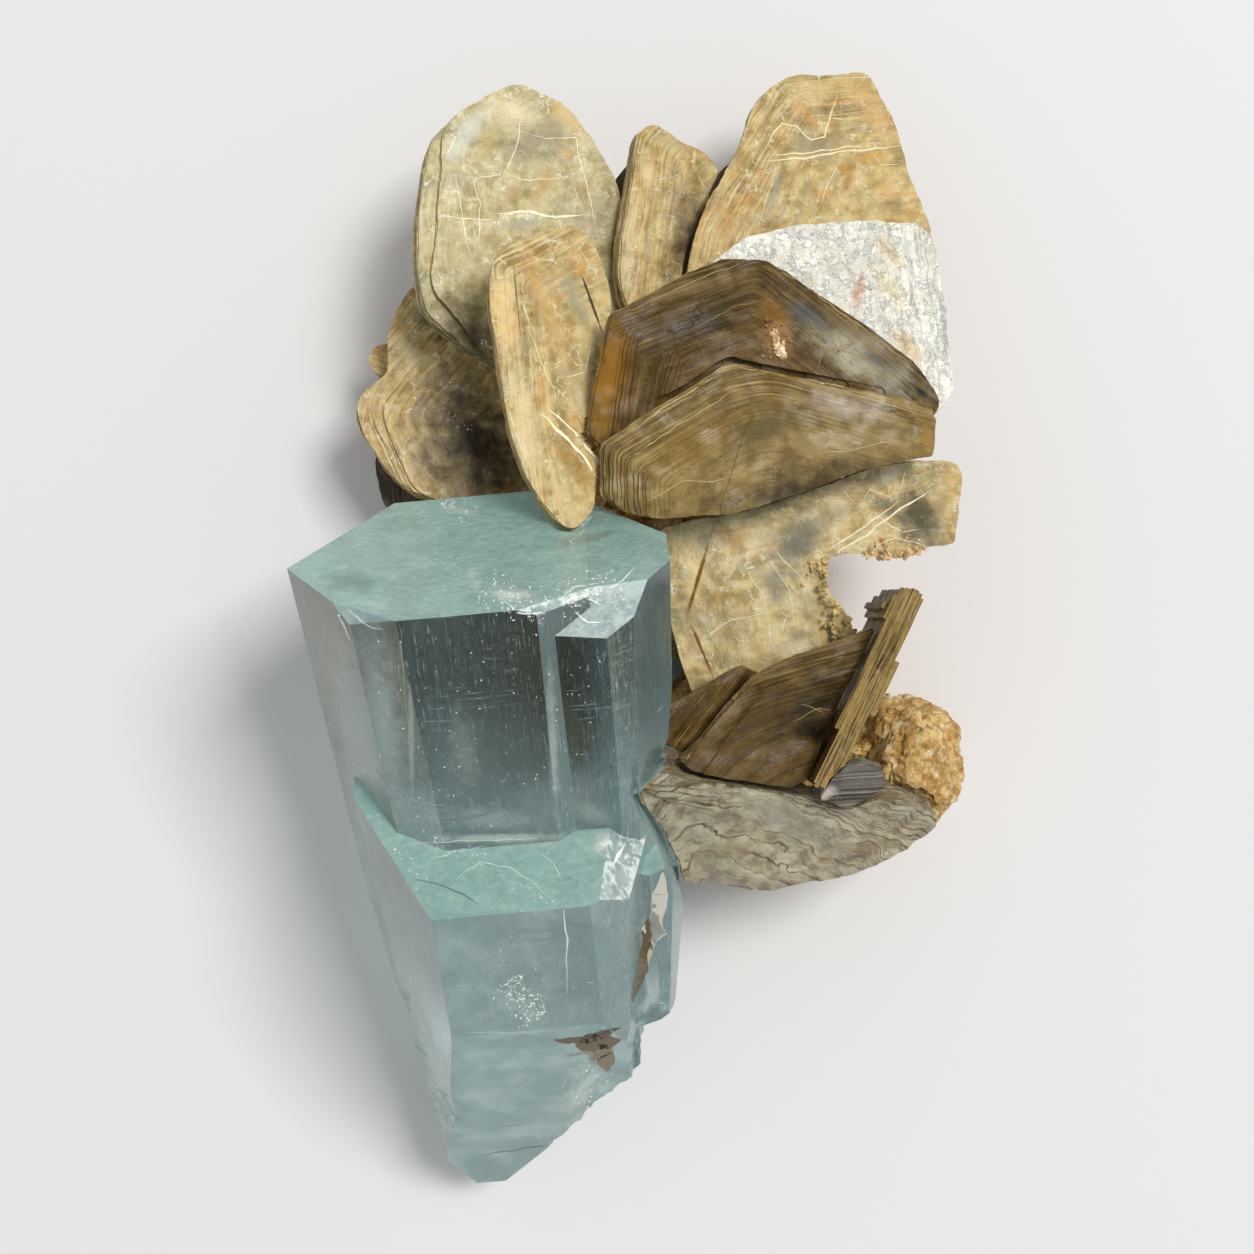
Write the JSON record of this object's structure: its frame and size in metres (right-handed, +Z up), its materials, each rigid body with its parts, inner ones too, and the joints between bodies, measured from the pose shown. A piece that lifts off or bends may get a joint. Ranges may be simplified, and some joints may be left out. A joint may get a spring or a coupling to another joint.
{
  "type": "aquamarine crystal specimen",
  "caption": "Stout clear blue-green aquamarine crystal with a flat cap and a stepped side crystal, grown against a fan of muscovite mica books on feldspar.",
  "frame": {"origin": "on the resting plane, under the middle of the specimen's bounding box", "axes": "+Z up from the surface that the specimen lies on; +Y along its length, from the crystal's tip to the mica fan; +X to the feldspar side"},
  "size_m": [0.0618, 0.1084, 0.0463],
  "materials": {
    "aquamarine": "clear pale blue-green beryl, flat glassy faces with fine striations and chipped edges",
    "mica_gold": "yellow-brown muscovite, pearly cleavage face with iron stains, layered edges",
    "mica_bronze": "dark bronze muscovite, satin cleavage face with growth steps",
    "mica_silver": "silvery muscovite, bright pearly cleavage face with rippled sheets",
    "feldspar": "granular yellow-tan iron-stained feldspar, matt"
  },
  "bodies": {
    "root": {"aquamarine": "aquamarine", "mica_edge_blade": "mica_gold", "mica_large_front": "mica_bronze", "mica_large_back": "mica_bronze", "mica_overlapping": "mica_gold", "mica_dark_blade": "mica_bronze", "mica_chip": "mica_silver", "mica_bottom": "mica_silver", "mica_dark_back": "mica_bronze", "mica_middle_right": "mica_gold", "mica_silver": "mica_silver", "mica_upper_right": "mica_gold", "mica_upper_middle": "mica_gold", "mica_upper_left": "mica_gold", "mica_left": "mica_gold", "mica_left_under": "mica_bronze", "mica_left_tuft": "mica_gold", "mica_back_left": "mica_bronze", "mica_back_middle": "mica_bronze", "feldspar_matrix": "feldspar"}
  },
  "joints": []
}
